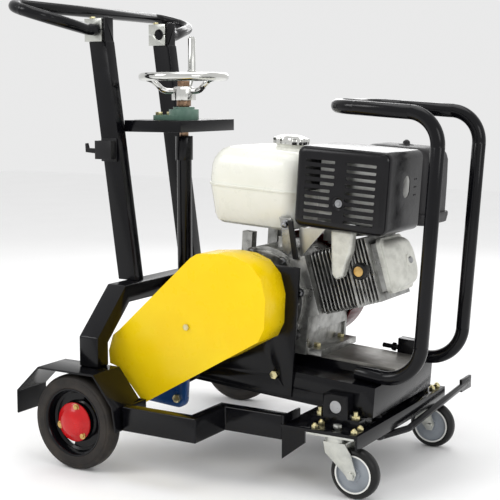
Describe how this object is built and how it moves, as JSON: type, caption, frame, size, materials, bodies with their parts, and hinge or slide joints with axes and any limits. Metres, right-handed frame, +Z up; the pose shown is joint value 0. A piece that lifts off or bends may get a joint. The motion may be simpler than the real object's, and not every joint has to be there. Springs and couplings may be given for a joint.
{
  "type": "walk-behind concrete saw",
  "caption": "Walk-behind concrete saw: wheeled chassis, tilting engine deck with belt guard, handwheel depth lift, lifting hoop and looped handlebar.",
  "frame": {"origin": "centre of the footprint, on the floor", "axes": "+X towards the caster end (front), -Y the belt-guard side, +Z up"},
  "size_m": [0.9246, 0.7, 0.9725],
  "materials": {
    "frame_black": "gloss",
    "guard_yellow": "gloss",
    "bearing_green": "gloss",
    "bearing_blue": "gloss",
    "housing_red": "gloss",
    "tank_white": "gloss",
    "muffler_black": "satin",
    "chrome": "polished",
    "zinc": "satin",
    "zinc_yellow": "satin",
    "steel": "satin",
    "galvanised": "matte",
    "cast_alloy": "matte",
    "cast_iron": "matte",
    "screw_steel": "satin",
    "rubber": "matte",
    "tyre": "matte",
    "plastic_black": "matte",
    "plastic_grey": "satin",
    "plastic_red": "gloss",
    "wheel_red": "gloss",
    "caster_grey": "satin"
  },
  "bodies": {
    "chassis": {"wheel_arches": "frame_black", "axle_brackets": "frame_black", "rear_hoop": "frame_black", "handle_posts": "frame_black", "handle_clamps": "zinc", "screw_bracket": "frame_black", "lift_bearing": "bearing_green", "side_rails": "frame_black", "front_plate": "frame_black", "pivot_blocks": "frame_black", "chassis_bolts": "zinc_yellow", "caster_plates": "zinc", "throttle_box": "plastic_black"},
    "handle": {"handlebar": "frame_black"},
    "throttle": {"throttle_trigger": "plastic_black"},
    "guide": {"guide_rod": "frame_black"},
    "lift_wheel": {"handwheel": "chrome", "lift_screw": "screw_steel"},
    "spinner": {"spinner_grip": "chrome"},
    "lift": {"lift_tube": "frame_black"},
    "blade_drive": {"blade_shaft": "steel", "driven_pulley": "cast_iron"},
    "crank": {"crankshaft": "steel", "engine_pulley": "cast_iron"},
    "fuel_cap": {"fuel_cap": "chrome"},
    "oil_cap": {"oil_cap": "plastic_black"},
    "choke": {"choke_lever": "plastic_black"},
    "switch": {"engine_switch": "plastic_red"},
    "recoil": {"recoil_grip": "plastic_black"},
    "rear_wheel_near": {"rear_tyre_near": "tyre", "rear_hub_near": "wheel_red"},
    "rear_wheel_far": {"rear_tyre_far": "tyre", "rear_hub_far": "wheel_red"},
    "caster_near": {"caster_fork_near": "zinc"},
    "caster_far": {"caster_fork_far": "zinc"},
    "caster_wheel_near": {"caster_wheel_near": "caster_grey"},
    "caster_wheel_far": {"caster_wheel_far": "caster_grey"},
    "deck": {"deck_frame": "frame_black", "pivot_shaft": "steel", "lift_pin": "zinc_yellow", "slide_plate": "galvanised", "tension_block": "frame_black", "guard_back_plate": "frame_black", "belt_guard": "guard_yellow", "deck_bolts": "zinc_yellow", "blade_bearings": "bearing_blue", "guard_hoop": "frame_black", "drive_belts": "rubber", "crankcase": "cast_alloy", "crankcase_cover": "cast_alloy", "cylinder_barrel": "cast_alloy", "cylinder_head": "cast_alloy", "valve_cover": "cast_alloy", "blower_housing": "housing_red", "recoil_cover": "housing_red", "fuel_tank": "tank_white", "muffler": "muffler_black", "muffler_guard": "muffler_black", "air_cleaner": "plastic_grey", "carburettor": "cast_alloy"}
  },
  "joints": [
    {"name": "deck_tilt", "type": "hinge", "parent": "chassis", "child": "deck", "pos_m": [0.2722, 0, 0.167], "axis": [0, -1, 0], "range_deg": [0, 11]},
    {"name": "lift_slide", "type": "slide", "parent": "chassis", "child": "lift", "axis": [0, 0, -1], "range_m": [0, 0.0905]},
    {"name": "handwheel_turn", "type": "hinge", "parent": "chassis", "child": "lift_wheel", "pos_m": [-0.1958, 0, 0.77], "axis": [0, 0, 1], "range_deg": [0, 3260]},
    {"name": "spinner_spin", "type": "hinge", "parent": "lift_wheel", "child": "spinner", "pos_m": [-0.22989, 0.08437, 0.86], "axis": [0, 0, 1], "continuous": true},
    {"name": "handle_clamp", "type": "hinge", "parent": "chassis", "child": "handle", "pos_m": [-0.33291, 0, 0.911], "axis": [0, 1, 0], "range_deg": [-15, 20]},
    {"name": "throttle_squeeze", "type": "hinge", "parent": "chassis", "child": "throttle", "pos_m": [-0.3198, -0.143, 0.65], "axis": [0, 1, 0], "range_deg": [0, 25], "stiffness_Nm_per_rad": 0.4},
    {"name": "guide_swing", "type": "hinge", "parent": "chassis", "child": "guide", "pos_m": [0.3202, -0.086, 0.12], "axis": [0, 0, -1], "range_deg": [0, 90]},
    {"name": "blade_shaft_spin", "type": "hinge", "parent": "deck", "child": "blade_drive", "pos_m": [-0.14544, 0, 0.18599], "axis": [0, 1, 0], "continuous": true},
    {"name": "crank_spin", "type": "hinge", "parent": "deck", "child": "crank", "pos_m": [0.05983, 0, 0.35409], "axis": [0, 1, 0], "continuous": true},
    {"name": "fuel_cap_turn", "type": "hinge", "parent": "deck", "child": "fuel_cap", "pos_m": [0.06319, 0.024, 0.66954], "axis": [0.0645, 0, 0.9979], "range_deg": [0, 90]},
    {"name": "oil_cap_turn", "type": "hinge", "parent": "deck", "child": "oil_cap", "pos_m": [0.14764, -0.115, 0.28629], "axis": [0, -1, 0], "range_deg": [0, 540]},
    {"name": "choke_turn", "type": "hinge", "parent": "deck", "child": "choke", "pos_m": [0.15185, 0.094, 0.47541], "axis": [0, 1, 0], "range_deg": [0, 30]},
    {"name": "switch_turn", "type": "hinge", "parent": "deck", "child": "switch", "pos_m": [0.18628, 0.172, 0.38801], "axis": [0, 1, 0], "range_deg": [0, 60]},
    {"name": "recoil_pull", "type": "slide", "parent": "deck", "child": "recoil", "axis": [-0.66, 0, 0.7513], "range_m": [0, 0.35], "stiffness_N_per_m": 30},
    {"name": "rear_wheel_spin_near", "type": "hinge", "parent": "chassis", "child": "rear_wheel_near", "pos_m": [-0.2498, -0.322, 0.1], "axis": [0, 1, 0], "continuous": true},
    {"name": "rear_wheel_spin_far", "type": "hinge", "parent": "chassis", "child": "rear_wheel_far", "pos_m": [-0.2498, 0.322, 0.1], "axis": [0, 1, 0], "continuous": true},
    {"name": "caster_swivel_near", "type": "hinge", "parent": "chassis", "child": "caster_near", "pos_m": [0.2882, -0.197, 0.11], "axis": [0, 0, 1], "continuous": true},
    {"name": "caster_spin_near", "type": "hinge", "parent": "caster_near", "child": "caster_wheel_near", "pos_m": [0.3282, -0.197, 0.05], "axis": [0, 1, 0], "continuous": true},
    {"name": "caster_swivel_far", "type": "hinge", "parent": "chassis", "child": "caster_far", "pos_m": [0.2882, 0.197, 0.11], "axis": [0, 0, 1], "continuous": true},
    {"name": "caster_spin_far", "type": "hinge", "parent": "caster_far", "child": "caster_wheel_far", "pos_m": [0.3282, 0.197, 0.05], "axis": [0, 1, 0], "continuous": true}
  ],
  "couplings": [
    {"joint": "lift_slide", "follows": "deck_tilt", "m_per_rad": 0.4706},
    {"joint": "handwheel_turn", "follows": "deck_tilt", "ratio": 295.7},
    {"joint": "crank_spin", "follows": "blade_shaft_spin", "ratio": 1.0667}
  ]
}
